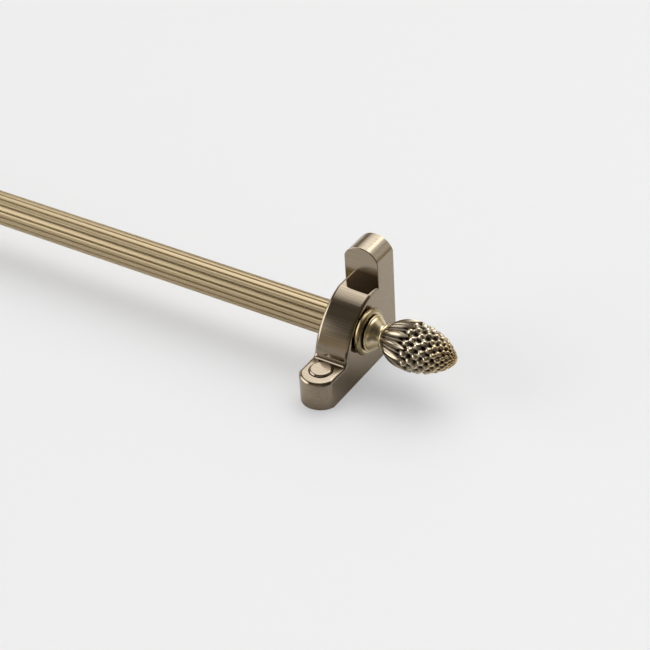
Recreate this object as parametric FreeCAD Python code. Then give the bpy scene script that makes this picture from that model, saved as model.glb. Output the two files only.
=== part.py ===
import FreeCAD, Part
import math
import os

# A stair carpet rod: a reeded tube that turns in two corner brackets and ends in two pineapple finials.
# Millimetres. X runs along the rod, Y towards the riser, Z up.
# The origin is on the tread, under the middle of the whole part.

Vector = FreeCAD.Vector
X_AXIS = Vector(1, 0, 0)
Z_AXIS = Vector(0, 0, 1)

# Rod: a tube with broad, slightly rounded reeds and narrow V grooves between them
ROD_LENGTH = 724.0
ROD_DIAMETER = 12.7
TUBE_BORE = 10.0
REED_COUNT = 18
REED_CROWN = 0.05
GROOVE_WIDTH = 0.75
GROOVE_DEPTH = 0.55

# Threaded plug in each end of the tube, and the stud that holds the finial to it
PLUG_LENGTH = 16.0
STUD_DIAMETER = 6.0
STUD_IN_PLUG = 11.0
STUD_IN_FINIAL = 5.6
THREAD_CLEARANCE = 0.1
SEAT_CLEARANCE = 0.03

# Bracket: sizes are taken from the rod's axis, the tread plane and the riser plane
BRACKET_WIDTH = 13.6
AXIS_TO_TREAD = 18.5
AXIS_TO_RISER = 20.1
UPPER_TAB_REACH = 26.1
UPPER_TAB_THICKNESS = 10.2
UPPER_CREASE = 12.1
LOWER_TAB_REACH = 26.6
LOWER_TAB_THICKNESS = 11.4
LOWER_CREASE = 12.7
TAB_END_EXTRA = 0.5
CROWN_WALL = 1.9
BODY_SINK = 3.0
BORE_CLEARANCE = 0.15
EDGE_CHAMFER = 0.5
FLANGE_GAP = 0.3

# Screw hole in the lower tab, and the round cap that covers it
CAP_DIAMETER = 8.2
CAP_TO_AXIS = 18.6
CAP_RISE = 0.8
CAP_EDGE = 0.5
CAP_SEAT_DEPTH = 3.4
CAP_CLEARANCE = 0.2
SCREW_HOLE_DIAMETER = 4.4
SCREW_HEAD_DIAMETER = 7.2

# Finial: a turned flange, bell and neck, then the carved bulb
FLANGE_DIAMETER = 17.2
FLANGE_THICKNESS = 2.4
FLANGE_SLOPE = 1.0
GROOVE_RING_DIAMETER = 12.4
GROOVE_RING_LENGTH = 0.5
BELL_DIAMETER = 13.6
BELL_LENGTH = 4.4
BELL_RIM = 1.2
NECK_DIAMETER = 7.6
COLLAR_DIAMETER = 9.4
COLLAR_LENGTH = 1.4

# Bulb: long leaves at its foot, then staggered rows of pointed scales
BULB_LENGTH = 27.2
BULB_DIAMETER = 18.1
BULB_WIDEST = 10.2
BULB_FOOT_DIAMETER = 9.2
BULB_TAPER = 0.68
BULB_COLUMNS = 12
LEAF_LENGTH = 10.6
LEAF_RELIEF = 0.9
LEAF_TIP_LENGTH = 0.8
LEAF_RINGS = 2
SCALE_RELIEF = 1.0
SCALE_ASPECT = 0.92
SCALE_TIP_DIAMETER = 3.6

# Sizes that follow from those above
ROD_RADIUS = ROD_DIAMETER / 2
ROD_END = ROD_LENGTH / 2
STUD_RADIUS = STUD_DIAMETER / 2
BORE_RADIUS = ROD_RADIUS + BORE_CLEARANCE
AXIS_Y = (LOWER_TAB_REACH - AXIS_TO_RISER) / 2
BRACKET_MIDDLE = ROD_END - FLANGE_GAP - BRACKET_WIDTH / 2
AXIS_PLACE = Vector(0, AXIS_Y, AXIS_TO_TREAD)
LOWER_TAB_TOP = LOWER_TAB_THICKNESS - AXIS_TO_TREAD
UPPER_TAB_FRONT = AXIS_TO_RISER - UPPER_TAB_THICKNESS
TAB_END_RADIUS = BRACKET_WIDTH / 2 + TAB_END_EXTRA
BELL_START = FLANGE_THICKNESS + GROOVE_RING_LENGTH
BELL_END = BELL_START + BELL_LENGTH
BULB_FOOT = BELL_END + COLLAR_LENGTH


def line(start, end):
    return Part.LineSegment(start, end).toShape()


def arc(start, middle, end):
    return Part.Arc(start, middle, end).toShape()


def around_axis(x, radius, angle):
    """A point at this distance and angle round the X axis."""
    return Vector(x, radius * math.cos(angle), radius * math.sin(angle))


def reed_outline():
    """The rod's outline at x = 0: one reed and one groove, repeated round the axis."""
    pitch = 2 * math.pi / REED_COUNT
    edge_radius = ROD_RADIUS - REED_CROWN
    half_groove = GROOVE_WIDTH / 2 / edge_radius
    edges = []
    for reed in range(REED_COUNT):
        middle = reed * pitch
        gap = middle + pitch / 2
        start = around_axis(0, edge_radius, middle - pitch / 2 + half_groove)
        crown = around_axis(0, ROD_RADIUS, middle)
        end = around_axis(0, edge_radius, gap - half_groove)
        floor = around_axis(0, ROD_RADIUS - GROOVE_DEPTH, gap)
        next_start = around_axis(0, edge_radius, gap + half_groove)
        edges.append(arc(start, crown, end))
        edges.append(line(end, floor))
        edges.append(line(floor, next_start))
    return Part.Wire(edges)


def rod_tube():
    rod = Part.Face(reed_outline()).extrude(X_AXIS * ROD_LENGTH)
    bore = Part.makeCylinder(TUBE_BORE / 2, ROD_LENGTH, Vector(0, 0, 0), X_AXIS)
    return rod.cut(bore).translated(Vector(-ROD_END, 0, 0))


def end_plug():
    """Pressed into the tube, flush with its end, and tapped right through for the stud."""
    start = Vector(ROD_END - PLUG_LENGTH, 0, 0)
    plug = Part.makeCylinder(TUBE_BORE / 2 - SEAT_CLEARANCE, PLUG_LENGTH, start, X_AXIS)
    return plug.cut(Part.makeCylinder(STUD_RADIUS + THREAD_CLEARANCE, PLUG_LENGTH, start, X_AXIS))


def finial_stud():
    length = STUD_IN_PLUG + STUD_IN_FINIAL
    return Part.makeCylinder(STUD_RADIUS, length, Vector(ROD_END - STUD_IN_PLUG, 0, 0), X_AXIS)


def finial_turning():
    """The turned foot of the finial, from the flange's back at x = 0 to the bulb's foot."""
    def at(x, diameter):
        return Vector(x, diameter / 2, 0)

    hole = STUD_DIAMETER + 2 * SEAT_CLEARANCE
    corners = [
        at(STUD_IN_FINIAL, 0),
        at(STUD_IN_FINIAL, hole),
        at(0, hole),
        at(0, FLANGE_DIAMETER),
        at(FLANGE_THICKNESS - FLANGE_SLOPE, FLANGE_DIAMETER),
        at(FLANGE_THICKNESS, GROOVE_RING_DIAMETER),
        at(BELL_START, GROOVE_RING_DIAMETER),
        at(BELL_START, BELL_DIAMETER),
        at(BELL_START + BELL_RIM, BELL_DIAMETER),
        at(BELL_END, NECK_DIAMETER),
        at(BELL_END, COLLAR_DIAMETER),
        at(BULB_FOOT, COLLAR_DIAMETER),
        at(BULB_FOOT, 0),
    ]
    profile = Part.Face(Part.makePolygon(corners + corners[:1]))
    return profile.revolve(Vector(0, 0, 0), X_AXIS, 360)


def bulb_radius(x):
    """The bulb's outer radius at this distance from its foot: an egg with a pointed end."""
    widest = BULB_DIAMETER / 2
    if x < BULB_WIDEST:
        foot_share = BULB_FOOT_DIAMETER / BULB_DIAMETER
        half_length = BULB_WIDEST / math.sqrt(1 - foot_share ** 2)
        return widest * math.sqrt(1 - ((BULB_WIDEST - x) / half_length) ** 2)
    share = (x - BULB_WIDEST) / (BULB_LENGTH - BULB_WIDEST)
    return widest * (1 - share ** 2) ** BULB_TAPER


def bulb_ring(x, ridge_parity, relief):
    """Points round the bulb at x, with ridges on every second one and hollows between."""
    outer = bulb_radius(x)
    points = []
    for place in range(2 * BULB_COLUMNS):
        radius = outer if place % 2 == ridge_parity else outer - relief
        points.append(around_axis(x, radius, place * math.pi / BULB_COLUMNS))
    return points


def bulb_rings():
    """The foot, the leaves' ridges, and the rows of scales up to the tip.

    Each ring comes with the side that its ridges are on, so that the faces fold along the hollows.
    """
    rings = [(bulb_ring(0, 0, 0), 0)]
    for step in range(LEAF_RINGS):
        x = (LEAF_LENGTH - LEAF_TIP_LENGTH) * (step + 1) / LEAF_RINGS
        rings.append((bulb_ring(x, 0, LEAF_RELIEF), 0))
    x = LEAF_LENGTH
    parity = 1
    while bulb_radius(x) > SCALE_TIP_DIAMETER / 2:
        size = bulb_radius(x) / (BULB_DIAMETER / 2)
        rings.append((bulb_ring(x, parity, SCALE_RELIEF * size), parity))
        x += SCALE_ASPECT * bulb_radius(x) * math.pi / BULB_COLUMNS
        parity = 1 - parity
    return rings


def triangle(first, second, third):
    return Part.Face(Part.makePolygon([first, second, third, first]))


def finial_bulb():
    """The carved bulb, with its foot at x = 0 and its tip on the X axis."""
    rings = bulb_rings()
    count = 2 * BULB_COLUMNS
    foot = rings[0][0]
    faces = [Part.Face(Part.makePolygon(foot + foot[:1]))]
    for (near, near_parity), (far, far_parity) in zip(rings, rings[1:]):
        for place in range(count):
            after = (place + 1) % count
            fold_is_near = place % 2 == (far_parity if near_parity != far_parity else 0)
            if fold_is_near:
                faces.append(triangle(near[place], far[after], far[place]))
                faces.append(triangle(near[place], near[after], far[after]))
            else:
                faces.append(triangle(near[place], near[after], far[place]))
                faces.append(triangle(near[after], far[after], far[place]))
    tip = Vector(BULB_LENGTH, 0, 0)
    last = rings[-1][0]
    for place in range(count):
        faces.append(triangle(last[place], last[(place + 1) % count], tip))
    shell = Part.makeShell(faces)
    shell.sewShape()
    return Part.makeSolid(Part.makeShell(shell.Faces))


def finial():
    bulb = finial_bulb().translated(Vector(BULB_FOOT, 0, 0))
    return finial_turning().fuse(bulb).translated(Vector(ROD_END, 0, 0))


def tab(reach, foot, thickness):
    """A tab lying flat: it reaches along +Y from -foot, with an arc for its end and its top at z = 0.

    The edges of its top are eased, apart from the one at its foot.
    """
    half = BRACKET_WIDTH / 2
    radius = TAB_END_RADIUS
    ease = EDGE_CHAMFER
    corners = [
        Vector(-half, -foot, -thickness),
        Vector(half, -foot, -thickness),
        Vector(half, -foot, -ease),
        Vector(half - ease, -foot, 0),
        Vector(ease - half, -foot, 0),
        Vector(-half, -foot, -ease),
    ]
    strip = Part.Face(Part.makePolygon(corners + corners[:1])).extrude(Vector(0, reach + foot, 0))
    end = reach - radius
    round_end = Part.makeCylinder(radius, thickness - ease, Vector(0, end, -thickness))
    eased_end = Part.makeCone(radius, radius - ease, ease, Vector(0, end, -ease))
    straight = Part.makeBox(2 * radius, end + foot, thickness, Vector(-radius, -foot, -thickness))
    return strip.common(straight.fuse([round_end, eased_end]))


def bracket_body():
    """The round body in the corner of the two tabs, with its middle at x = 0.

    Its arc runs through both creases and on into the tabs, and its two edges are eased.
    """
    crown = around_axis(0, BORE_RADIUS + CROWN_WALL, 3 * math.pi / 4)
    lower_crease = Vector(0, -LOWER_CREASE, LOWER_TAB_TOP)
    upper_crease = Vector(0, UPPER_TAB_FRONT, UPPER_CREASE)
    circle = Part.Circle(lower_crease, crown, upper_crease)
    low_z = LOWER_TAB_TOP - BODY_SINK
    back_y = UPPER_TAB_FRONT + BODY_SINK
    front_y = circle.Center.y - math.sqrt(circle.Radius ** 2 - (low_z - circle.Center.z) ** 2)
    high_z = circle.Center.z + math.sqrt(circle.Radius ** 2 - (back_y - circle.Center.y) ** 2)
    start = Vector(0, front_y, low_z)
    end = Vector(0, back_y, high_z)
    corner = Vector(0, back_y, low_z)
    outline = Part.Wire([arc(start, crown, end), line(end, corner), line(corner, start)])
    solid = Part.Face(outline).extrude(X_AXIS * BRACKET_WIDTH).translated(X_AXIS * (-BRACKET_WIDTH / 2))
    round_edges = [edge for edge in solid.Edges if isinstance(edge.Curve, Part.Circle)]
    return solid.makeChamfer(EDGE_CHAMFER, round_edges)


def bracket_block():
    """The bracket before its holes are cut, about the rod's axis."""
    lower = tab(LOWER_TAB_REACH, AXIS_TO_RISER, LOWER_TAB_THICKNESS)
    lower.rotate(Vector(0, 0, 0), Z_AXIS, 180)
    lower.translate(Vector(0, 0, LOWER_TAB_TOP))
    upper = tab(UPPER_TAB_REACH, AXIS_TO_TREAD, UPPER_TAB_THICKNESS)
    upper.rotate(Vector(0, 0, 0), X_AXIS, 90)
    upper.translate(Vector(0, UPPER_TAB_FRONT, 0))
    return bracket_body().fuse([lower, upper]).removeSplitter()


def screw_seat():
    """The cap's seat, the countersink and the screw hole, on the Z axis with the tab's top at z = 0."""
    seat_radius = CAP_DIAMETER / 2 + CAP_CLEARANCE
    head_radius = SCREW_HEAD_DIAMETER / 2
    hole_radius = SCREW_HOLE_DIAMETER / 2
    floor = Vector(0, 0, -CAP_SEAT_DEPTH)
    down = Vector(0, 0, -1)
    seat = Part.makeCylinder(seat_radius, CAP_SEAT_DEPTH + CAP_RISE, floor, Z_AXIS)
    countersink = Part.makeCone(head_radius, hole_radius, head_radius - hole_radius, floor, down)
    hole = Part.makeCylinder(hole_radius, LOWER_TAB_THICKNESS, Vector(0, 0, 0), down)
    return seat.fuse([countersink, hole])


def cap_place():
    return Vector(0, -CAP_TO_AXIS, LOWER_TAB_TOP)


def bracket():
    start = Vector(-BRACKET_WIDTH / 2, 0, 0)
    bore = Part.makeCylinder(BORE_RADIUS, BRACKET_WIDTH, start, X_AXIS)
    return bracket_block().cut([bore, screw_seat().translated(cap_place())])


def screw_cap():
    """A round plug that stands on the floor of its seat and hides the screw."""
    radius = CAP_DIAMETER / 2
    plug = Part.makeCylinder(radius, CAP_SEAT_DEPTH + CAP_RISE, Vector(0, 0, -CAP_SEAT_DEPTH), Z_AXIS)
    top_edge = [edge for edge in plug.Edges if edge.BoundBox.ZMin > CAP_RISE / 2]
    return plug.makeChamfer(CAP_EDGE, top_edge).translated(cap_place())


def mirrored(shape):
    return shape.mirror(Vector(0, 0, 0), X_AXIS)


def save(name, shape):
    shape.translated(AXIS_PLACE).exportStep("parts/" + name + ".step")


os.makedirs("parts", exist_ok=True)
at_bracket = Vector(BRACKET_MIDDLE, 0, 0)
right_pieces = {
    "bracket": bracket().translated(at_bracket),
    "screw_cap": screw_cap().translated(at_bracket),
    "end_plug": end_plug(),
    "finial_stud": finial_stud(),
    "finial": finial(),
}
save("rod_tube", rod_tube())
for name, shape in right_pieces.items():
    save(name + "_right", shape)
    save(name + "_left", mirrored(shape))
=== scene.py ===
import math

import bmesh
import bpy
from mathutils import Matrix, Vector


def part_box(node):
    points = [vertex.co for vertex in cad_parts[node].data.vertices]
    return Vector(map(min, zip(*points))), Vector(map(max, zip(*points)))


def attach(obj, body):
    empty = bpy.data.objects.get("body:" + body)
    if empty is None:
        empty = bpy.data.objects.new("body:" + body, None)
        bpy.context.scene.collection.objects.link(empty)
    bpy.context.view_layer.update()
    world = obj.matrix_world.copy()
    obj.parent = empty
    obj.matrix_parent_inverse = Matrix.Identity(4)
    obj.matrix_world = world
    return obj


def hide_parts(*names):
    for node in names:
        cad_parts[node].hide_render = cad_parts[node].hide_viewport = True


# A stair carpet rod in antique brass: reeded tube, cast corner brackets and pineapple finials.
# Sizes are in millimetres, in the part's own frame, and MM turns them into metres.

MM = 0.001
SIDES = {"right": 1, "left": -1}

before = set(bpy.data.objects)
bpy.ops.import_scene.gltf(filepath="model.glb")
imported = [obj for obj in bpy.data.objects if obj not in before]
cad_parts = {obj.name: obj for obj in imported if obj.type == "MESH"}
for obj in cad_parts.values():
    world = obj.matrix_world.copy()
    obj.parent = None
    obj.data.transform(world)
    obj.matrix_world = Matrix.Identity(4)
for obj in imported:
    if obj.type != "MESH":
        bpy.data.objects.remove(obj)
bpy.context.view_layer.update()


def box_mm(node):
    low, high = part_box(node)
    return [value / MM for value in low], [value / MM for value in high]


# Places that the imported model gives
ROD_LOW, ROD_HIGH = box_mm("rod_tube")
ROD_END = ROD_HIGH[0]
ROD_RADIUS = (ROD_HIGH[1] - ROD_LOW[1]) / 2
AXIS_Y = (ROD_LOW[1] + ROD_HIGH[1]) / 2
AXIS_Z = (ROD_LOW[2] + ROD_HIGH[2]) / 2
BRACKET_LOW, BRACKET_HIGH = box_mm("bracket_right")
BRACKET_MIDDLE = (BRACKET_LOW[0] + BRACKET_HIGH[0]) / 2
BRACKET_HALF = (BRACKET_HIGH[0] - BRACKET_LOW[0]) / 2
BRACKET_TOP = BRACKET_HIGH[2]
TREAD = BRACKET_LOW[2]
RISER = BRACKET_HIGH[1]
FRONT = BRACKET_LOW[1]
CAP_LOW, CAP_HIGH = box_mm("screw_cap_right")
CAP_RADIUS = (CAP_HIGH[1] - CAP_LOW[1]) / 2
CAP_Y = (CAP_LOW[1] + CAP_HIGH[1]) / 2
FINIAL_TIP = box_mm("finial_right")[1][0]

# Rod: broad, slightly crowned reeds with round grooves between them
REED_COUNT = 18
REED_CROWN = 0.05
GROOVE_WIDTH = 0.75
GROOVE_DEPTH = 0.55
TUBE_BORE_RADIUS = 5.0
REED_STEPS = 7
GROOVE_STEPS = 6
REED_PITCH = 2 * math.pi / REED_COUNT
REED_EDGE = ROD_RADIUS - REED_CROWN
HALF_GROOVE = GROOVE_WIDTH / 2 / REED_EDGE
HALF_REED = REED_PITCH / 2 - HALF_GROOVE

# Bracket: two tabs, and a round body in their corner
UPPER_TAB_THICKNESS = 10.2
LOWER_TAB_THICKNESS = 11.4
UPPER_CREASE = 12.1
LOWER_CREASE = 12.7
BODY_SINK = 3.0
BORE_RADIUS = 6.5
CROWN_RADIUS = 8.4
TAB_END_EXTRA = 0.5
UPPER_TAB_ROUND = 0.35
LOWER_TAB_ROUND = 1.4
BODY_ROUND = 1.5
LEDGE_DEPTH = 5.1
LOWER_TAB_TOP = TREAD + LOWER_TAB_THICKNESS
UPPER_TAB_FRONT = RISER - UPPER_TAB_THICKNESS
TAB_END_RADIUS = BRACKET_HALF + TAB_END_EXTRA

# The fillet at the lower crease stops short of the tab's top and dives into it at that angle
CREASE_FILLET = 1.7
FILLET_STOP = math.radians(12)
DIVE = 0.4

# Screw hole and the cap's seat in the lower tab
CAP_SEAT_CLEARANCE = 0.3
CAP_SEAT_DEPTH = 3.4
CAP_EDGE = 0.8
SCREW_HOLE_RADIUS = 2.2
SCREW_HEAD_RADIUS = 3.6

# Steps of the bracket's and the cap's curves, and the small lengths of their making
EDGE_STEPS = 4
TAB_END_STEPS = 28
FILLET_STEPS = 8
BODY_STEPS = 48
BORE_SEGMENTS = 96
CAP_SEGMENTS = 72
CAP_EDGE_STEPS = 6
SCREW_SEGMENTS = 48
CUT_EXTRA = 0.2
SAME_PLACE = 0.001
WELD_DISTANCE = 0.0005
FLAT_ANGLE = math.radians(0.1)

# Finial's turned foot: flange, groove, bell, neck and collar
FLANGE_RADIUS = 8.6
FLANGE_ROUND = 1.15
FLANGE_THICKNESS = 2.4
GROOVE_RING_RADIUS = 6.2
GROOVE_RING_LENGTH = 0.5
BELL_RADIUS = 6.8
BELL_RIM = 0.6
FLARE_LENGTH = 3.8
NECK_RADIUS = 3.8
COLLAR_RADIUS = 4.8
COLLAR_FOOT = 0.3
COLLAR_LENGTH = 1.4
STUD_HOLE_RADIUS = 3.03
STUD_HOLE_DEPTH = 5.6
BELL_START = FLANGE_THICKNESS + GROOVE_RING_LENGTH
NECK_END = BELL_START + BELL_RIM + FLARE_LENGTH
BULB_FOOT = NECK_END + COLLAR_LENGTH
FLANGE_STEPS = 8
RIM_STEPS = 10
FLARE_STEPS = 16
COLLAR_STEPS = 12

# Relief that the finial's patina follows: 0 in a recess, 1 on top of a scale, more where it is turned
HOLE_RELIEF = 0.5
GROOVE_RELIEF = 0.1
BELL_RELIEF = 1.04
TURNED_RELIEF = 1.3

# Bulb: an egg with leaves at its foot and staggered rows of scales above them
BULB_LENGTH = 27.2
BULB_RADIUS = 9.05
BULB_WIDEST = 10.2
BULB_FOOT_RADIUS = 4.6
BULB_TAPER = 0.68
BULB_COLUMNS = 12
BULB_SEGMENTS = 312
RELIEF_START = 3.0

# Scales: how deep and full they are, and how far they stray from their places and are worn down
SCALE_RELIEF = 1.5
SCALE_ASPECT = 0.92
SCALE_TIP_RADIUS = 1.2
SCALE_WOBBLE = 0.20
SCALE_WEAR = 0.25
SCALE_FULLNESS = 0.68
ROW_STEPS = 16
CHANCE_ROW = 12.9898
CHANCE_COLUMN = 78.233
CHANCE_SALT = 37.719
CHANCE_SPREAD = 43758.5453

# Leaves: shares of their length, and widths in half columns
LEAF_LENGTH = 10.6
LEAF_STEEPNESS = math.radians(70)
LEAF_TIP = 1.1
LEAF_SHADE = 0.62
LEAF_FOOT = 0.14
LEAF_ROUND = 0.8
LEAF_TOP = 0.88
RIB_HEIGHT = 0.15
RIB_WIDTH = 0.09
UPPER_LEAF_WIDTH = 0.80
LOWER_LEAF_WIDTH = 0.55
LOWER_LEAF_LENGTH = 0.92
LOWER_LEAF_HEIGHT = 0.5
LEAF_STEPS = 60

# Angles in degrees past which an edge stays hard
ROD_SHARP = 50
BRACKET_SHARP = 32
CAP_SHARP = 40
FINIAL_SHARP = 60

# Materials: tones by share of the noise or the relief, roughness between two values,
# noise scales along each axis, and the strength and depth of the bump
BRACKET_TONES = [(0.3, (0.295, 0.244, 0.183)), (0.7, (0.385, 0.324, 0.247))]
BRACKET_ROUGHNESS = (0.08, 0.15)
BRACKET_STREAKS = (45, 2200, 2200)
BRACKET_BUMP = (0.15, 0.00003)
ROD_TONES = [(0.3, (0.45, 0.36, 0.225)), (0.7, (0.55, 0.445, 0.285))]
ROD_GROOVE_TONE = (0.25, 0.195, 0.115)
ROD_ROUGHNESS = (0.35, 0.43)
ROD_STREAKS = (20, 2500, 2500)
ROD_BUMP = (0.10, 0.00003)
FINIAL_TONES = [
    (0.07, (0.010, 0.008, 0.006)),
    (0.22, (0.14, 0.115, 0.085)),
    (0.38, (0.46, 0.395, 0.30)),
    (0.66, (0.74, 0.65, 0.50)),
    (0.80, (0.72, 0.61, 0.40)),
    (1.0, (0.37, 0.295, 0.168)),
]
FINIAL_POLISH = [(0.0, 0.45), (0.6, 0.15), (0.8, 0.24)]
FINIAL_GRAIN = (1800, 1800, 1800)
FINIAL_BUMP = (0.10, 0.00004)
WARM_TONE = (1.0, 0.84, 0.60)
WARM_FROM = FINIAL_TIP - 11
WARM_FULL = FINIAL_TIP - 1
PLUG_TONES = [(0.3, (0.50, 0.38, 0.18)), (0.7, (0.62, 0.50, 0.28))]
STUD_TONES = [(0.3, (0.45, 0.45, 0.46)), (0.7, (0.60, 0.60, 0.61))]
PLAIN_ROUGHNESS = (0.3, 0.45)
PLAIN_STREAKS = (1500, 300, 300)
NOISE_DETAIL = 4.0

# Camera, from the photo's fitted view: its place is taken from the rod's axis at the right bracket
CAMERA_FROM_BRACKET = (287.815, -432.064, 391.804)
CAMERA_AZIMUTH = 34.568
CAMERA_ELEVATION = 37.010
CAMERA_ROLL = 3.799
CAMERA_LENS = 103.776
CAMERA_FAR_END = 50

# Floor, as the camera sees it
FLOOR_REACH = 20000
FLOOR_TONE = 0.90
FLOOR_COLOUR = (0.895, 0.915, 0.955)
FLOOR_GLOW = 0.38
FLOOR_ROUGHNESS = 0.8
FLOOR_GLOSS = 0.1

# Floor, as the metal mirrors it: painted shade, darker in front and darkest in the corner at the front
# right, where the bracket's shadow falls
PAINTED_FRONT_SHADE_TONE = 0.55
FRONT_FROM = -80
FRONT_TO = -30
CORNER_LEFT = BRACKET_MIDDLE - 20
CORNER_RIGHT = BRACKET_MIDDLE + 50
CORNER_FRONT = -35
CORNER_BACK = -15
PAINTED_CORNER_SHADE = 0.85

# Soft boxes round the table, which light it and show in the metal:
# the way to each, the angles in degrees where it starts and ends to fade, and its brightness
SOFT_BOXES = [
    ((-0.19, 0.52, 0.83), 0, 43, 2.5),
    ((0.57, 0.69, 0.45), 6, 22, 0.7),
    ((0.12, 0.66, 0.74), 4, 10, 1.5),
    ((-0.85, -0.45, 0.28), 20, 31.5, 2.6),
]

# The dim room behind them, lighter along the horizon, and the dark corner in it, given like a soft box
ROOM_LIGHT = 0.13
ROOM_TINT = (1.0, 0.88, 0.70)
HORIZON_LIGHT = 0.36
HORIZON_LOW = 0.10
HORIZON_HIGH = 0.48
DARK_CORNER = ((0.93, -0.30, 0.20), 22, 44, 0.65)
BACKDROP_COLOUR = (0.85, 0.85, 0.85)

# One lamp, high above at the right
LAMP_PLACE = (BRACKET_MIDDLE + 700, 420, 1250)
LAMP_TARGET = (BRACKET_MIDDLE, 0, 0)
LAMP_SIZE = 900
LAMP_RADIANCE = 1.1


def metres(point):
    return Vector(point) * MM


def link_object(name, mesh):
    obj = bpy.data.objects.new(name, mesh)
    bpy.context.collection.objects.link(obj)
    return obj


def new_mesh_object(name, points, faces):
    """A mesh object from points in millimetres, joined to the scene."""
    mesh = bpy.data.meshes.new(name)
    mesh.from_pydata([metres(point) for point in points], [], faces)
    mesh.validate()
    mesh.update()
    return link_object(name, mesh)


def finish_mesh(name, work):
    """A mesh object from a finished bmesh, joined to the scene."""
    mesh = bpy.data.meshes.new(name)
    work.to_mesh(mesh)
    work.free()
    return link_object(name, mesh)


def face_outward(obj):
    work = bmesh.new()
    work.from_mesh(obj.data)
    bmesh.ops.recalc_face_normals(work, faces=work.faces)
    work.to_mesh(obj.data)
    work.free()


def store_relief(obj, relief):
    """Keeps a height for each point, 0 in a recess and 1 on top, for the patina to follow."""
    attribute = obj.data.attributes.new("relief", "FLOAT", "POINT")
    attribute.data.foreach_set("value", relief)


def shade(obj, sharp_degrees):
    """Smooth faces that keep a hard edge where they turn by more than this angle."""
    obj.data.polygons.foreach_set("use_smooth", [True] * len(obj.data.polygons))
    obj.data.set_sharp_from_angle(angle=math.radians(sharp_degrees))


def weigh_normals(obj):
    """Flat faces stay flat beside their rounded edges."""
    modifier = obj.modifiers.new("normals", "WEIGHTED_NORMAL")
    modifier.keep_sharp = True


def ring_faces(ring_count, segments, closed):
    """Quads between rings of points, numbered ring by ring. A closed row of rings joins end to start."""
    faces = []
    for ring in range(ring_count if closed else ring_count - 1):
        here = ring * segments
        there = (ring + 1) % ring_count * segments
        for step in range(segments):
            after = (step + 1) % segments
            faces.append((here + step, here + after, there + after, there + step))
    return faces


# Rod

def reed_radius(angle):
    """The rod's radius at an angle from the middle of a reed."""
    if abs(angle) <= HALF_REED:
        return ROD_RADIUS - REED_CROWN * (angle / HALF_REED) ** 2
    share = (REED_PITCH / 2 - abs(angle)) / HALF_GROOVE
    return REED_EDGE - (GROOVE_DEPTH - REED_CROWN) * math.sqrt(max(0.0, 1 - share ** 2))


def reed_angles():
    """Angles round one reed, from the middle of a groove to the middle of the next."""
    groove = []
    for step in range(GROOVE_STEPS):
        share = math.sin(step / GROOVE_STEPS * math.pi / 2)
        groove.append(-REED_PITCH / 2 + HALF_GROOVE * share)
    reed = [-HALF_REED + 2 * HALF_REED * step / REED_STEPS for step in range(REED_STEPS + 1)]
    far_groove = [-angle for angle in reversed(groove[1:])]
    return groove + reed + far_groove


def make_rod():
    angles = []
    radii = []
    for reed in range(REED_COUNT):
        for angle in reed_angles():
            angles.append(reed * REED_PITCH + angle)
            radii.append(reed_radius(angle))
    rings = [(-ROD_END, None), (ROD_END, None), (ROD_END, TUBE_BORE_RADIUS), (-ROD_END, TUBE_BORE_RADIUS)]
    points = []
    relief = []
    for x, bore_radius in rings:
        for angle, radius in zip(angles, radii):
            reach = bore_radius or radius
            points.append((x, AXIS_Y + reach * math.cos(angle), AXIS_Z + reach * math.sin(angle)))
            relief.append(1 - max(0.0, REED_EDGE - radius) / (GROOVE_DEPTH - REED_CROWN))
    obj = new_mesh_object("reeded_rod", points, ring_faces(len(rings), len(angles), True))
    store_relief(obj, relief)
    face_outward(obj)
    shade(obj, ROD_SHARP)
    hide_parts("rod_tube")
    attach(obj, "rod")
    return obj


# Bracket

def arc_points(centre, radius, start, end, steps):
    """Points of an arc in a plane, from one angle to another in radians."""
    points = []
    for step in range(steps + 1):
        angle = start + (end - start) * step / steps
        points.append((centre[0] + radius * math.cos(angle), centre[1] + radius * math.sin(angle)))
    return points


def tab_outline(reach, foot):
    """A tab seen square on, as (across, along) points: it reaches along from its foot to a round end."""
    half = BRACKET_HALF
    radius = TAB_END_RADIUS
    shoulder = math.acos(half / radius)
    end = arc_points((0, reach - radius), radius, shoulder, math.pi - shoulder, TAB_END_STEPS)
    return [(half, foot)] + end + [(-half, foot)]


def prism(name, outline, depth, edge_round, eased):
    """A solid from a flat outline pushed along depth, with the edges that eased() picks rounded."""
    work = bmesh.new()
    near = [work.verts.new(metres(point)) for point in outline]
    far = [work.verts.new(metres(Vector(point) + Vector(depth))) for point in outline]
    work.faces.new(near)
    work.faces.new(far)
    for first in range(len(outline)):
        second = (first + 1) % len(outline)
        work.faces.new((near[first], near[second], far[second], far[first]))
    bmesh.ops.recalc_face_normals(work, faces=work.faces)
    edges = [edge for edge in work.edges if eased([vertex.co / MM for vertex in edge.verts])]
    bmesh.ops.bevel(
        work, geom=edges, offset=edge_round * MM, offset_type="OFFSET",
        segments=EDGE_STEPS, profile=0.5, affect="EDGES", clamp_overlap=True)
    return finish_mesh(name, work)


def combine(base, tool, operation):
    """Joins a tool to the base, or cuts it from the base, and takes the tool away."""
    modifier = base.modifiers.new("combine", "BOOLEAN")
    modifier.object = tool
    modifier.operation = operation
    modifier.solver = "EXACT"
    graph = bpy.context.evaluated_depsgraph_get()
    result = bpy.data.meshes.new_from_object(base.evaluated_get(graph))
    base.modifiers.clear()
    base.data = result
    bpy.data.objects.remove(tool)


def merge_flat(obj):
    """Joins the faces of one plane that the cuts have split, and drops what is left too thin to show."""
    work = bmesh.new()
    work.from_mesh(obj.data)
    bmesh.ops.remove_doubles(work, verts=work.verts, dist=WELD_DISTANCE * MM)
    bmesh.ops.dissolve_limit(work, angle_limit=FLAT_ANGLE, verts=work.verts, edges=work.edges)
    work.to_mesh(obj.data)
    work.free()


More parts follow.
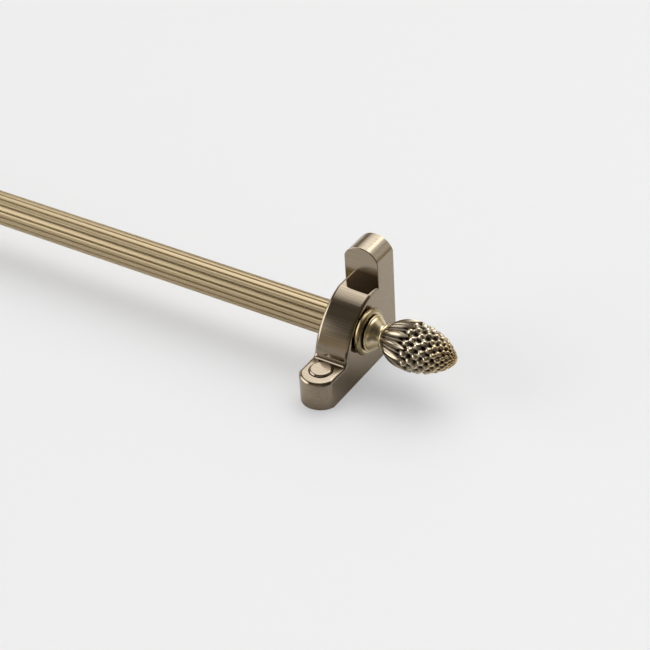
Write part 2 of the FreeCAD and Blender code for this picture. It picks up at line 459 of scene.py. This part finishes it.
def circle_through(first, second, third):
    """The centre and radius of the circle through three points of a plane."""
    ax, ay = first
    bx, by = second
    cx, cy = third
    turn = 2 * (ax * (by - cy) + bx * (cy - ay) + cx * (ay - by))
    a2 = ax * ax + ay * ay
    b2 = bx * bx + by * by
    c2 = cx * cx + cy * cy
    x = (a2 * (by - cy) + b2 * (cy - ay) + c2 * (ay - by)) / turn
    y = (a2 * (cx - bx) + b2 * (ax - cx) + c2 * (bx - ax)) / turn
    return (x, y), math.hypot(ax - x, ay - y)


def lower_tab(middle):
    """It ends inside the upper tab, so that the bracket's back is one face."""
    foot = -UPPER_TAB_FRONT - BODY_SINK
    outline = [(middle + across, -along, TREAD) for across, along in tab_outline(-FRONT, foot)]

    def eased(ends):
        on_top = all(end.z > LOWER_TAB_TOP - LOWER_TAB_ROUND / 2 for end in ends)
        return on_top and min(end.y for end in ends) < UPPER_TAB_FRONT
    return prism("lower_tab", outline, (0, 0, LOWER_TAB_THICKNESS), LOWER_TAB_ROUND, eased)


def upper_tab(middle):
    outline = [(middle + across, RISER, along) for across, along in tab_outline(BRACKET_TOP, TREAD)]

    def eased(ends):
        in_front = all(end.y < UPPER_TAB_FRONT + UPPER_TAB_ROUND / 2 for end in ends)
        return in_front and max(end.z for end in ends) > LOWER_TAB_TOP
    return prism("upper_tab", outline, (0, -UPPER_TAB_THICKNESS, 0), UPPER_TAB_ROUND, eased)


def body_side():
    """The round body seen from its end, as two lists of (y, z) points.

    The first has what shows: a fillet, the big arc and a flat ledge. The second has what the tabs hide.
    """
    lower_crease = (AXIS_Y - LOWER_CREASE, LOWER_TAB_TOP)
    ledge_z = AXIS_Z + UPPER_CREASE
    ledge_front = (UPPER_TAB_FRONT - LEDGE_DEPTH, ledge_z)
    diagonal = CROWN_RADIUS * math.sqrt(0.5)
    crown = (AXIS_Y - diagonal, AXIS_Z + diagonal)
    centre, radius = circle_through(lower_crease, crown, ledge_front)
    foot_z = LOWER_TAB_TOP + CREASE_FILLET
    foot_y = centre[0] - math.sqrt((radius + CREASE_FILLET) ** 2 - (foot_z - centre[1]) ** 2)
    toward = math.atan2(centre[1] - foot_z, centre[0] - foot_y)
    start = math.atan2(foot_z - centre[1], foot_y - centre[0])
    end = math.atan2(ledge_front[1] - centre[1], ledge_front[0] - centre[0])
    stop = FILLET_STOP - math.pi / 2
    lower_fillet = arc_points((foot_y, foot_z), CREASE_FILLET, stop, toward, FILLET_STEPS)
    arc = arc_points(centre, radius, start, end, BODY_STEPS)
    run = DIVE / math.tan(FILLET_STOP)
    first = (lower_fillet[0][0] - run, lower_fillet[0][1] - DIVE)
    low_z = LOWER_TAB_TOP - BODY_SINK
    back_y = UPPER_TAB_FRONT + BODY_SINK
    exposed = [first] + lower_fillet + arc[1:] + [(back_y, ledge_z)]
    return exposed, [(back_y, low_z), (first[0], low_z)]


def round_body(middle):
    exposed, hidden = body_side()
    left = middle - BRACKET_HALF
    outline = [(left, y, z) for y, z in exposed + hidden]

    def on_side(point):
        return any(math.hypot(point.y - y, point.z - z) < SAME_PLACE for y, z in exposed)

    def eased(ends):
        along_side = abs(ends[0].x - ends[1].x) < BODY_ROUND
        return along_side and all(on_side(end) for end in ends)
    return prism("round_body", outline, (2 * BRACKET_HALF, 0, 0), BODY_ROUND, eased)


def cutter(name, start, axis, length, radius, end_radius, segments):
    """A cylinder or cone from start along axis, to cut with."""
    work = bmesh.new()
    bmesh.ops.create_cone(
        work, cap_ends=True, segments=segments,
        radius1=radius * MM, radius2=end_radius * MM, depth=length * MM)
    middle = metres(Vector(start) + Vector(axis) * length / 2)
    turn = Vector((0, 0, 1)).rotation_difference(Vector(axis)).to_matrix().to_4x4()
    work.transform(Matrix.Translation(middle) @ turn)
    return finish_mesh(name, work)


def bracket_cutters(middle):
    """The rod's bore, the cap's seat, and the screw's hole and countersink."""
    along = (1, 0, 0)
    up = (0, 0, 1)
    bore_start = (middle - 2 * BRACKET_HALF, AXIS_Y, AXIS_Z)
    floor_z = LOWER_TAB_TOP - CAP_SEAT_DEPTH
    seat_radius = CAP_RADIUS + CAP_SEAT_CLEARANCE
    sink_depth = SCREW_HEAD_RADIUS - SCREW_HOLE_RADIUS
    return [
        cutter("bore", bore_start, along, 4 * BRACKET_HALF, BORE_RADIUS, BORE_RADIUS, BORE_SEGMENTS),
        cutter(
            "seat", (middle, CAP_Y, floor_z), up, 2 * CAP_SEAT_DEPTH,
            seat_radius, seat_radius, CAP_SEGMENTS),
        cutter(
            "hole", (middle, CAP_Y, TREAD - CUT_EXTRA), up, LOWER_TAB_THICKNESS,
            SCREW_HOLE_RADIUS, SCREW_HOLE_RADIUS, SCREW_SEGMENTS),
        cutter(
            "sink", (middle, CAP_Y, floor_z - sink_depth), up, sink_depth + CUT_EXTRA,
            SCREW_HOLE_RADIUS, SCREW_HEAD_RADIUS + CUT_EXTRA, SCREW_SEGMENTS),
    ]


def make_bracket(side, sign):
    middle = sign * BRACKET_MIDDLE
    obj = lower_tab(middle)
    obj.name = "bracket_casting_" + side
    combine(obj, upper_tab(middle), "UNION")
    combine(obj, round_body(middle), "UNION")
    for tool in bracket_cutters(middle):
        combine(obj, tool, "DIFFERENCE")
    merge_flat(obj)
    shade(obj, BRACKET_SHARP)
    weigh_normals(obj)
    body = "bracket_" + side
    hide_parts(body)
    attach(obj, body)
    return obj


def lathe(name, profile, place, segments):
    """A turned piece: (height, radius) points turned about an upright axis at this place."""
    points = []
    for height, radius in profile:
        for step in range(segments):
            angle = 2 * math.pi * step / segments
            points.append((place[0] + radius * math.cos(angle), place[1] + radius * math.sin(angle), height))
    faces = ring_faces(len(profile), segments, False)
    last = (len(profile) - 1) * segments
    faces.append(tuple(range(segments)))
    faces.append(tuple(last + step for step in range(segments)))
    return new_mesh_object(name, points, faces)


def make_cap(side, sign):
    edge_centre = (CAP_HIGH[2] - CAP_EDGE, CAP_RADIUS - CAP_EDGE)
    edge = arc_points(edge_centre, CAP_EDGE, math.pi / 2, 0, CAP_EDGE_STEPS)
    profile = [(CAP_LOW[2], CAP_RADIUS)] + edge
    obj = lathe("cap_cover_" + side, profile, (sign * BRACKET_MIDDLE, CAP_Y), CAP_SEGMENTS)
    face_outward(obj)
    shade(obj, CAP_SHARP)
    weigh_normals(obj)
    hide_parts("screw_cap_" + side)
    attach(obj, "bracket_" + side)
    return obj


# Finial

def bulb_radius(x):
    """The bulb's outer radius at this distance from its foot: an egg with a pointed end."""
    if x < BULB_WIDEST:
        half_length = BULB_WIDEST / math.sqrt(1 - (BULB_FOOT_RADIUS / BULB_RADIUS) ** 2)
        return BULB_RADIUS * math.sqrt(1 - ((BULB_WIDEST - x) / half_length) ** 2)
    share = (x - BULB_WIDEST) / (BULB_LENGTH - BULB_WIDEST)
    return BULB_RADIUS * max(0.0, 1 - share ** 2) ** BULB_TAPER


def scale_rows():
    """Places along the bulb of the rows of scales, closer together as the bulb narrows."""
    rows = [LEAF_LENGTH]
    while bulb_radius(rows[-1]) > SCALE_TIP_RADIUS:
        rows.append(rows[-1] + SCALE_ASPECT * bulb_radius(rows[-1]) * math.pi / BULB_COLUMNS)
    return rows


def bead(distance, reach):
    """A round bead with steep sides: 1 in its middle and 0 from its reach outwards."""
    if distance >= reach:
        return 0.0
    ball = reach / math.sin(LEAF_STEEPNESS)
    floor = math.sqrt(ball ** 2 - reach ** 2)
    return (math.sqrt(ball ** 2 - distance ** 2) - floor) / (ball - floor)


def chance(row, column, salt):
    """A fixed number from 0 to 1 for each scale, so that no two are quite alike."""
    angle = CHANCE_ROW * row + CHANCE_COLUMN * column + CHANCE_SALT * salt
    return math.sin(angle) * CHANCE_SPREAD % 1


def wave(offset):
    """A smooth hump: 1 in its middle and 0 from a little under one step away."""
    return math.cos(math.pi / 2 * min(1.0, abs(offset) / (1 - SCALE_WOBBLE / 2))) ** 2


def scale_height(row, column):
    """Height of the scales, 0 to 1, at a place counted in rows and half columns.

    Bumps and pits take turns, as on a chessboard.
    """
    height = 0.0
    for near_row in (math.floor(row), math.floor(row) + 1):
        for near_column in (math.floor(column), math.floor(column) + 1):
            if (near_row + near_column) % 2 and near_row >= 0:
                home = near_column % (2 * BULB_COLUMNS)
                row_shift = SCALE_WOBBLE * (chance(near_row, home, 1) - 0.5)
                column_shift = SCALE_WOBBLE * (chance(near_row, home, 2) - 0.5)
                top = 1 - SCALE_WEAR * chance(near_row, home, 3)
                height += top * wave(row - near_row - row_shift) * wave(column - near_column - column_shift)
    return min(1.0, height) ** SCALE_FULLNESS


def one_leaf(share, across, width):
    """Height of a leaf with a pointed tip and a mid rib.

    The place is a share of the leaf's length, and so many half columns off its middle.
    """
    if share >= 1:
        return 0.0
    reach = width * math.sin(math.pi * (LEAF_FOOT + (1 - LEAF_FOOT) * share)) ** LEAF_ROUND
    rib = RIB_HEIGHT * math.exp(-(across / RIB_WIDTH) ** 2)
    return bead(across, reach) * (LEAF_TOP + rib)


def leaf_height(share, column):
    """Height of the two layers of leaves, 0 to 1: upper ones on even half columns, lower ones between."""
    upper = one_leaf(share, abs((column + 1) % 2 - 1), UPPER_LEAF_WIDTH)
    lower = one_leaf(share / LOWER_LEAF_LENGTH, abs(column % 2 - 1), LOWER_LEAF_WIDTH)
    return max(upper, LOWER_LEAF_HEIGHT * lower)


def bell_profile():
    """(x, radius) of the bell: its rounded rim, and its long flare down to the neck."""
    rim = BELL_RIM / 2
    points = arc_points((BELL_START + rim, BELL_RADIUS - rim), rim, math.pi, 0, RIM_STEPS)
    top = BELL_RADIUS - BELL_RIM
    for step in range(FLARE_STEPS + 1):
        share = step / FLARE_STEPS
        fall = 0.5 - 0.5 * math.cos(math.pi * share)
        points.append((BELL_START + BELL_RIM + FLARE_LENGTH * share, top - (top - NECK_RADIUS) * fall))
    return points


def collar_profile():
    """(x, radius) of the bead under the bulb."""
    points = []
    low = NECK_RADIUS + COLLAR_FOOT
    for step in range(COLLAR_STEPS + 1):
        turn = math.pi * step / COLLAR_STEPS
        x = NECK_END + COLLAR_LENGTH / 2 * (1 - math.cos(turn))
        points.append((x, low + (COLLAR_RADIUS - low) * math.sin(turn)))
    return points


def foot_profile():
    """(x, radius, relief) of the turned foot, from the stud's hole to the bulb's foot."""
    hole = [(STUD_HOLE_DEPTH, STUD_HOLE_RADIUS), (0, STUD_HOLE_RADIUS)]
    rim_radius = FLANGE_RADIUS - FLANGE_ROUND
    far_rim = FLANGE_THICKNESS - FLANGE_ROUND
    flange = arc_points((FLANGE_ROUND, rim_radius), FLANGE_ROUND, math.pi, math.pi / 2, FLANGE_STEPS)
    flange += arc_points((far_rim, rim_radius), FLANGE_ROUND, math.pi / 2, 0, FLANGE_STEPS)
    groove = [(FLANGE_THICKNESS, GROOVE_RING_RADIUS), (BELL_START, GROOVE_RING_RADIUS)]
    sections = [
        (hole, HOLE_RELIEF),
        (flange, TURNED_RELIEF),
        (groove, GROOVE_RELIEF),
        (bell_profile(), BELL_RELIEF),
        (collar_profile(), BELL_RELIEF),
    ]
    return [(x, radius, relief) for points, relief in sections for x, radius in points]


def bulb_profile():
    """(x, row) for each ring of the bulb, where row counts the rows of scales from the first one."""
    rows = scale_rows()
    rings = []
    for step in range(LEAF_STEPS):
        x = LEAF_LENGTH * step / LEAF_STEPS
        rings.append((x, (x - rows[0]) / (rows[1] - rows[0])))
    for row in range(len(rows) - 1):
        for step in range(ROW_STEPS):
            share = step / ROW_STEPS
            rings.append((rows[row] + (rows[row + 1] - rows[row]) * share, row + share))
    return rings


def bulb_point(x, row, column):
    """(radius, relief) of the carved bulb at a place along it and round it, in half columns."""
    outer = bulb_radius(x)
    leaf = leaf_height(x / (LEAF_LENGTH * LEAF_TIP), column)
    scale = scale_height(row, column)
    depth = SCALE_RELIEF * min(1.0, x / RELIEF_START) * outer / BULB_RADIUS
    return outer - depth * (1 - max(leaf, scale)), max(LEAF_SHADE * leaf, scale)


def finial_rings():
    """(x, ring) from the stud's hole to the last row of scales.

    A ring is a list with a radius and a relief for each of its points.
    """
    rings = []
    for x, radius, relief in foot_profile():
        rings.append((x, [(radius, relief)] * BULB_SEGMENTS))
    columns = [2 * BULB_COLUMNS * step / BULB_SEGMENTS for step in range(BULB_SEGMENTS)]
    for x, row in bulb_profile():
        rings.append((BULB_FOOT + x, [bulb_point(x, row, column) for column in columns]))
    return rings


def make_finial(side, sign):
    rings = finial_rings()
    points = []
    relief = []
    for x, ring in rings:
        for step, (radius, height) in enumerate(ring):
            angle = 2 * math.pi * step / BULB_SEGMENTS
            points.append((x, radius * math.cos(angle), radius * math.sin(angle)))
            relief.append(height)
    faces = ring_faces(len(rings), BULB_SEGMENTS, False)
    faces.append(tuple(range(BULB_SEGMENTS)))
    tip = len(points)
    points.append((BULB_FOOT + BULB_LENGTH, 0, 0))
    relief.append(1.0)
    last = tip - BULB_SEGMENTS
    for step in range(BULB_SEGMENTS):
        faces.append((last + step, last + (step + 1) % BULB_SEGMENTS, tip))
    placed = [(sign * (ROD_END + x), AXIS_Y + y, AXIS_Z + z) for x, y, z in points]
    obj = new_mesh_object("pineapple_finial_" + side, placed, faces)
    store_relief(obj, relief)
    face_outward(obj)
    shade(obj, FINIAL_SHARP)
    body = "finial_" + side
    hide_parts(body)
    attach(obj, body)
    return obj


# Materials

def new_material(name):
    material = bpy.data.materials.new(name)
    material.use_nodes = True
    tree = material.node_tree
    return material, tree, tree.nodes["Principled BSDF"]


def new_metal(name):
    material, tree, shader = new_material(name)
    shader.inputs["Metallic"].default_value = 1.0
    return material, tree, shader


def add_node(tree, kind, **inputs):
    node = tree.nodes.new(kind)
    for key, value in inputs.items():
        node.inputs[key].default_value = value
    return node


def split_axes(tree, vector):
    """The X, Y and Z of a vector."""
    parts = tree.nodes.new("ShaderNodeSeparateXYZ")
    tree.links.new(vector, parts.inputs["Vector"])
    return parts.outputs["X"], parts.outputs["Y"], parts.outputs["Z"]


def stretched_noise(tree, scale):
    """Noise in the part's own space, stretched by a different scale along each axis."""
    place = tree.nodes.new("ShaderNodeTexCoord")
    mapping = add_node(tree, "ShaderNodeMapping", Scale=scale)
    noise = add_node(tree, "ShaderNodeTexNoise", Scale=1.0, Detail=NOISE_DETAIL)
    tree.links.new(place.outputs["Object"], mapping.inputs["Vector"])
    tree.links.new(mapping.outputs["Vector"], noise.inputs["Vector"])
    return noise.outputs["Fac"]


def math_node(tree, operation, first, second):
    """A sum on two values, each of them a number or a socket."""
    node = tree.nodes.new("ShaderNodeMath")
    node.operation = operation
    for socket, value in zip(node.inputs, (first, second)):
        if isinstance(value, (int, float)):
            socket.default_value = value
        else:
            tree.links.new(value, socket)
    return node.outputs["Value"]


def remap(tree, value, low, high, to_low, to_high):
    """A value between low and high, spread between to_low and to_high and kept inside them."""
    node = tree.nodes.new("ShaderNodeMapRange")
    for name, number in (("From Min", low), ("From Max", high), ("To Min", to_low), ("To Max", to_high)):
        node.inputs[name].default_value = number
    tree.links.new(value, node.inputs["Value"])
    return node.outputs["Result"]


def colour_ramp(tree, factor, stops):
    ramp = tree.nodes.new("ShaderNodeValToRGB")
    elements = ramp.color_ramp.elements
    while len(elements) < len(stops):
        elements.new(0.5)
    for element, (position, colour) in zip(elements, stops):
        element.position = position
        element.color = (*colour, 1)
    tree.links.new(factor, ramp.inputs["Fac"])
    return ramp.outputs["Color"]


def mix_colours(tree, blend, factor, first, second):
    """Two colours mixed by a factor, each of them a plain colour or a socket."""
    mix = tree.nodes.new("ShaderNodeMix")
    mix.data_type = "RGBA"
    mix.blend_type = blend
    tree.links.new(factor, mix.inputs["Factor"])
    for name, colour in (("A", first), ("B", second)):
        if isinstance(colour, tuple):
            mix.inputs[name].default_value = (*colour, 1)
        else:
            tree.links.new(colour, mix.inputs[name])
    return mix.outputs["Result"]


def add_bump(tree, shader, height, strength, distance):
    bump = add_node(tree, "ShaderNodeBump", Strength=strength, Distance=distance)
    tree.links.new(height, bump.inputs["Height"])
    tree.links.new(bump.outputs["Normal"], shader.inputs["Normal"])


def relief_value(tree):
    node = tree.nodes.new("ShaderNodeAttribute")
    node.attribute_name = "relief"
    return node.outputs["Fac"]


def bracket_material():
    """Brushed antique brass: fine streaks along the rod's direction over a brown-grey tone."""
    material, tree, shader = new_metal("brushed_antique_brass")
    streaks = stretched_noise(tree, BRACKET_STREAKS)
    tree.links.new(colour_ramp(tree, streaks, BRACKET_TONES), shader.inputs["Base Color"])
    tree.links.new(remap(tree, streaks, 0, 1, *BRACKET_ROUGHNESS), shader.inputs["Roughness"])
    add_bump(tree, shader, streaks, *BRACKET_BUMP)
    return material


def rod_material():
    """Antique brass drawn along the rod, with dark lines left in the grooves."""
    material, tree, shader = new_metal("reeded_antique_brass")
    streaks = stretched_noise(tree, ROD_STREAKS)
    land = colour_ramp(tree, streaks, ROD_TONES)
    tone = mix_colours(tree, "MIX", relief_value(tree), ROD_GROOVE_TONE, land)
    tree.links.new(tone, shader.inputs["Base Color"])
    tree.links.new(remap(tree, streaks, 0, 1, *ROD_ROUGHNESS), shader.inputs["Roughness"])
    add_bump(tree, shader, streaks, *ROD_BUMP)
    return material


def warm_tip(tree, tone):
    """The bulb's colour turns warmer towards its tip."""
    place = tree.nodes.new("ShaderNodeTexCoord")
    x, _, _ = split_axes(tree, place.outputs["Object"])
    reach = math_node(tree, "ABSOLUTE", x, 0.0)
    share = remap(tree, reach, WARM_FROM * MM, WARM_FULL * MM, 0, 1)
    return mix_colours(tree, "MULTIPLY", share, tone, WARM_TONE)


def finial_material():
    """Cast brass with a black patina left in its recesses, polished where it stands out."""
    material, tree, shader = new_metal("patinated_cast_brass")
    height = remap(tree, relief_value(tree), 0, TURNED_RELIEF, 0, 1)
    tone = colour_ramp(tree, height, FINIAL_TONES)
    tree.links.new(warm_tip(tree, tone), shader.inputs["Base Color"])
    polish = colour_ramp(tree, height, [(share, (value,) * 3) for share, value in FINIAL_POLISH])
    tree.links.new(polish, shader.inputs["Roughness"])
    add_bump(tree, shader, stretched_noise(tree, FINIAL_GRAIN), *FINIAL_BUMP)
    return material


def plain_metal(name, tones):
    """Turned or plated metal of the hidden pieces, with faint streaks."""
    material, tree, shader = new_metal(name)
    streaks = stretched_noise(tree, PLAIN_STREAKS)
    tree.links.new(colour_ramp(tree, streaks, tones), shader.inputs["Base Color"])
    tree.links.new(remap(tree, streaks, 0, 1, *PLAIN_ROUGHNESS), shader.inputs["Roughness"])
    return material


def dress(obj, material):
    obj.data.materials.clear()
    obj.data.materials.append(material)


def dress_node(name, material):
    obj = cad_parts[name]
    for material_slot in obj.material_slots:
        material_slot.material = material


# Studio

def mirrored_floor_painted_shade(tree):
    """The floor's tone in the metal, with painted shade in front and in the corner at the front right."""
    place = tree.nodes.new("ShaderNodeNewGeometry")
    x, y, _ = split_axes(tree, place.outputs["Position"])
    # Painted shade: the mirrored floor darkens towards the front, and most in the corner at the front right
    front_painted_shade = remap(tree, y, FRONT_FROM * MM, FRONT_TO * MM, PAINTED_FRONT_SHADE_TONE, FLOOR_TONE)
    corner_shade_x = remap(tree, x, CORNER_LEFT * MM, CORNER_RIGHT * MM, 0, PAINTED_CORNER_SHADE)
    corner_shade_y = remap(tree, y, CORNER_FRONT * MM, CORNER_BACK * MM, 1, 0)
    corner_painted_shade = math_node(tree, "MULTIPLY", corner_shade_x, corner_shade_y)
    return math_node(tree, "MULTIPLY", front_painted_shade, math_node(tree, "SUBTRACT", 1.0, corner_painted_shade))


def make_floor():
    """A pale table that glows a little for the camera, so that its shadows stay light."""
    reach = FLOOR_REACH
    points = [(-reach, -reach, 0), (reach, -reach, 0), (reach, reach, 0), (-reach, reach, 0)]
    obj = new_mesh_object("floor", points, [(0, 1, 2, 3)])
    material, tree, shader = new_material("pale_floor")
    shader.inputs["Roughness"].default_value = FLOOR_ROUGHNESS
    shader.inputs["Specular IOR Level"].default_value = FLOOR_GLOSS
    to_camera = tree.nodes.new("ShaderNodeLightPath").outputs["Is Camera Ray"]
    tone = add_node(tree, "ShaderNodeMix", B=FLOOR_TONE)
    tree.links.new(to_camera, tone.inputs["Factor"])
    # The metal mirrors the floor with its painted shade, while the camera sees the even pale tone
    tree.links.new(mirrored_floor_painted_shade(tree), tone.inputs["A"])
    tree.links.new(tone.outputs["Result"], shader.inputs["Base Color"])
    glow = add_node(tree, "ShaderNodeEmission", Color=(*FLOOR_COLOUR, 1), Strength=1.0)
    mix = tree.nodes.new("ShaderNodeMixShader")
    tree.links.new(math_node(tree, "MULTIPLY", to_camera, FLOOR_GLOW), mix.inputs["Fac"])
    tree.links.new(shader.outputs["BSDF"], mix.inputs[1])
    tree.links.new(glow.outputs["Emission"], mix.inputs[2])
    tree.links.new(mix.outputs["Shader"], tree.nodes["Material Output"].inputs["Surface"])
    dress(obj, material)


def soft_box(tree, direction, way, inner, outer, brightness):
    """Brightness of one soft box in a direction: full inside the inner angle and none past the outer."""
    dot = tree.nodes.new("ShaderNodeVectorMath")
    dot.operation = "DOT_PRODUCT"
    dot.inputs[1].default_value = Vector(way).normalized()
    tree.links.new(direction, dot.inputs[0])
    edge = math.cos(math.radians(outer))
    full = math.cos(math.radians(inner))
    return remap(tree, dot.outputs["Value"], edge, full, 0, brightness)


def room_light(tree, direction):
    """A dim room, lighter along the horizon, with a dark corner in front at the right."""
    _, _, height = split_axes(tree, direction)
    band = remap(tree, height, HORIZON_LOW, HORIZON_HIGH, ROOM_LIGHT + HORIZON_LIGHT, ROOM_LIGHT)
    kept = math_node(tree, "SUBTRACT", 1.0, soft_box(tree, direction, *DARK_CORNER))
    return math_node(tree, "MULTIPLY", band, kept)


def make_world():
    """A dim room with soft boxes, in front of a pale background that only the camera sees."""
    world = bpy.data.worlds.new("studio")
    world.use_nodes = True
    bpy.context.scene.world = world
    tree = world.node_tree
    direction = tree.nodes.new("ShaderNodeTexCoord").outputs["Generated"]
    bright = 0.0
    for box in SOFT_BOXES:
        bright = math_node(tree, "ADD", bright, soft_box(tree, direction, *box))
    room = tree.nodes["Background"]
    room.inputs["Color"].default_value = (*ROOM_TINT, 1)
    tree.links.new(room_light(tree, direction), room.inputs["Strength"])
    boxes = add_node(tree, "ShaderNodeBackground", Color=(1, 1, 1, 1))
    tree.links.new(bright, boxes.inputs["Strength"])
    light = tree.nodes.new("ShaderNodeAddShader")
    tree.links.new(room.outputs["Background"], light.inputs[0])
    tree.links.new(boxes.outputs["Background"], light.inputs[1])
    backdrop = add_node(tree, "ShaderNodeBackground", Color=(*BACKDROP_COLOUR, 1), Strength=1.0)
    path = tree.nodes.new("ShaderNodeLightPath")
    mix = tree.nodes.new("ShaderNodeMixShader")
    tree.links.new(path.outputs["Is Camera Ray"], mix.inputs["Fac"])
    tree.links.new(light.outputs["Shader"], mix.inputs[1])
    tree.links.new(backdrop.outputs["Background"], mix.inputs[2])
    tree.links.new(mix.outputs["Shader"], tree.nodes["World Output"].inputs["Surface"])


def make_lamp():
    """A soft square lamp that lightens the shadows and isn't mirrored in the metal."""
    lamp = bpy.data.lights.new("overhead", "AREA")
    lamp.shape = "SQUARE"
    lamp.size = LAMP_SIZE * MM
    lamp.energy = LAMP_RADIANCE * math.pi * lamp.size ** 2
    obj = link_object("overhead", lamp)
    obj.location = metres(LAMP_PLACE)
    obj.rotation_euler = (metres(LAMP_TARGET) - obj.location).to_track_quat("-Z", "Y").to_euler()
    obj.visible_glossy = False


def make_camera():
    azimuth = math.radians(CAMERA_AZIMUTH)
    elevation = math.radians(CAMERA_ELEVATION)
    back = Vector((
        math.sin(azimuth) * math.cos(elevation),
        -math.cos(azimuth) * math.cos(elevation),
        math.sin(elevation)))
    level = Vector((math.cos(azimuth), math.sin(azimuth), 0))
    upright = back.cross(level)
    roll = math.radians(CAMERA_ROLL)
    right = level * math.cos(roll) - upright * math.sin(roll)
    up = back.cross(right)
    turn = Matrix((right, up, back)).transposed()
    camera = bpy.data.cameras.new("photo_view")
    camera.lens = CAMERA_LENS
    camera.clip_end = CAMERA_FAR_END
    obj = link_object("photo_view", camera)
    place = Vector(CAMERA_FROM_BRACKET) + Vector((BRACKET_MIDDLE, AXIS_Y, AXIS_Z))
    obj.matrix_world = Matrix.Translation(metres(place)) @ turn.to_4x4()
    bpy.context.scene.camera = obj


rod_finish = rod_material()
bracket_finish = bracket_material()
finial_finish = finial_material()
dress(make_rod(), rod_finish)
for side, sign in SIDES.items():
    dress(make_bracket(side, sign), bracket_finish)
    dress(make_cap(side, sign), bracket_finish)
    dress(make_finial(side, sign), finial_finish)
    dress_node("end_plug_" + side, plain_metal("turned_brass_" + side, PLUG_TONES))
    dress_node("finial_stud_" + side, plain_metal("plated_steel_" + side, STUD_TONES))
make_floor()
make_world()
make_lamp()
make_camera()
bpy.context.scene.view_settings.view_transform = "Standard"
